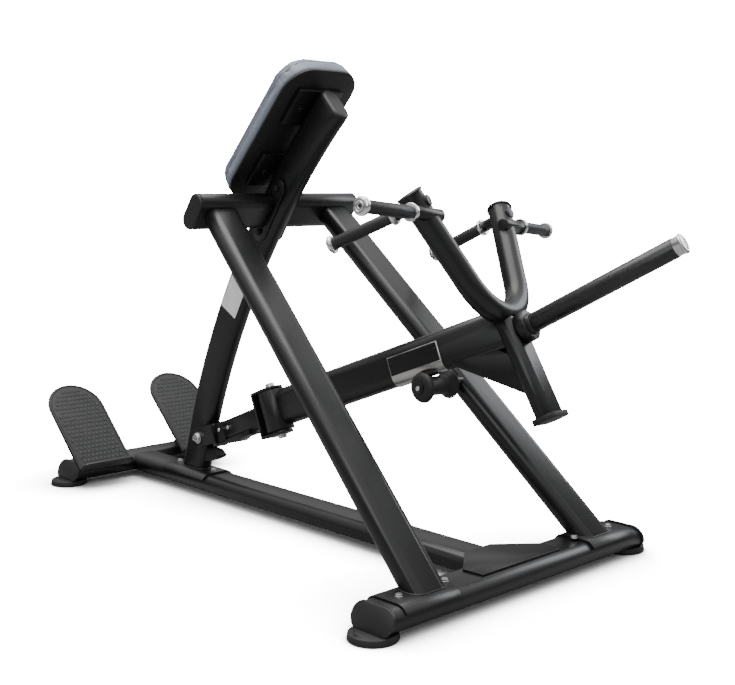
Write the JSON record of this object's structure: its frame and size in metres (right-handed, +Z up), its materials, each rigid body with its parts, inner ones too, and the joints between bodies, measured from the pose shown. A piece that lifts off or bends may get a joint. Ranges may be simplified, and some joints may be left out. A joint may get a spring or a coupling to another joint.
{
  "type": "chest-supported lever row machine",
  "caption": "Plate-loaded row machine with an angled chest pad, inclined foot plates and a pivoting, side-swinging loading lever with a handle fork.",
  "frame": {"origin": "centre of the whole object's outline in plan, at floor level", "axes": "+Z up; +Y along the base towards the foot plates, so the loading sleeve points to -Y; +X to the side the lever is racked on"},
  "size_m": [1.1886, 2.059, 1.319],
  "materials": {
    "powder_coat": "fine-textured satin black powder coat",
    "stop_coat": "satin black",
    "rubber": "matt moulded rubber",
    "tread": "matt rubber with a small raised block pattern",
    "grip": "matt moulded grip",
    "chrome": "polished",
    "zinc": "zinc plated",
    "stainless": "brushed stainless",
    "vinyl": "upholstery vinyl, fine leather grain"
  },
  "bodies": {
    "frame": {"front_crossbeam": "powder_coat", "rear_crossbeam": "powder_coat", "spine_beam": "powder_coat", "junction_plate": "powder_coat", "leg_saddle_right": "powder_coat", "leg_saddle_left": "powder_coat", "post_saddle": "powder_coat", "leg_right": "powder_coat", "leg_left": "powder_coat", "crossbar_right": "powder_coat", "crossbar_left": "powder_coat", "crossbar_bracket_left": "powder_coat", "crossbar_bracket_right": "powder_coat", "centre_post": "powder_coat", "pad_mount_upper": "powder_coat", "pad_mount_lower": "powder_coat", "pad_board": "powder_coat", "foot_plate_right": "powder_coat", "foot_plate_left": "powder_coat", "spool_axle": "powder_coat", "front_beam_cap_right": "stop_coat", "front_beam_cap_left": "stop_coat", "rear_beam_cap_right": "stop_coat", "rear_beam_cap_left": "stop_coat", "crossbar_cap_right": "stop_coat", "crossbar_cap_left": "stop_coat", "post_cap": "stop_coat", "front_foot_right": "rubber", "front_foot_left": "rubber", "rear_foot_right": "rubber", "rear_foot_left": "rubber", "rest_spool": "rubber", "post_stop": "rubber", "foot_tread_right": "tread", "foot_tread_left": "tread", "pivot_bolt": "zinc", "chest_pad": "vinyl"},
    "pivot_arm": {"pivot_clevis": "powder_coat", "inner_arm": "powder_coat", "swing_bracket": "powder_coat", "swing_bolt": "zinc"},
    "lever": {"swing_barrel": "powder_coat", "lever_tube": "powder_coat", "scuff_plate": "stainless", "head_post": "powder_coat", "post_foot": "rubber", "gusset": "powder_coat", "handle_fork": "powder_coat", "sleeve_collar": "powder_coat", "loading_sleeve": "powder_coat", "sleeve_end": "chrome", "side_handle_left": "chrome", "side_grip_left": "grip", "rear_handle_left": "chrome", "rear_grip_left": "grip", "side_handle_right": "chrome", "side_grip_right": "grip", "rear_handle_right": "chrome", "rear_grip_right": "grip"}
  },
  "joints": [
    {"name": "lever_pitch", "type": "hinge", "parent": "frame", "child": "pivot_arm", "pos_m": [-0.07092, 0.48364, 0.18654], "axis": [-1, 0, 0], "range_deg": [0, 24]},
    {"name": "lever_swing", "type": "hinge", "parent": "pivot_arm", "child": "lever", "pos_m": [-0.07092, 0.13109, 0.28802], "axis": [0, 0.3746, 0.9272], "range_deg": [-27, 0]}
  ],
  "couplings": [
    {"joint": "lever_swing", "follows": "lever_pitch", "ratio": -0.56}
  ]
}
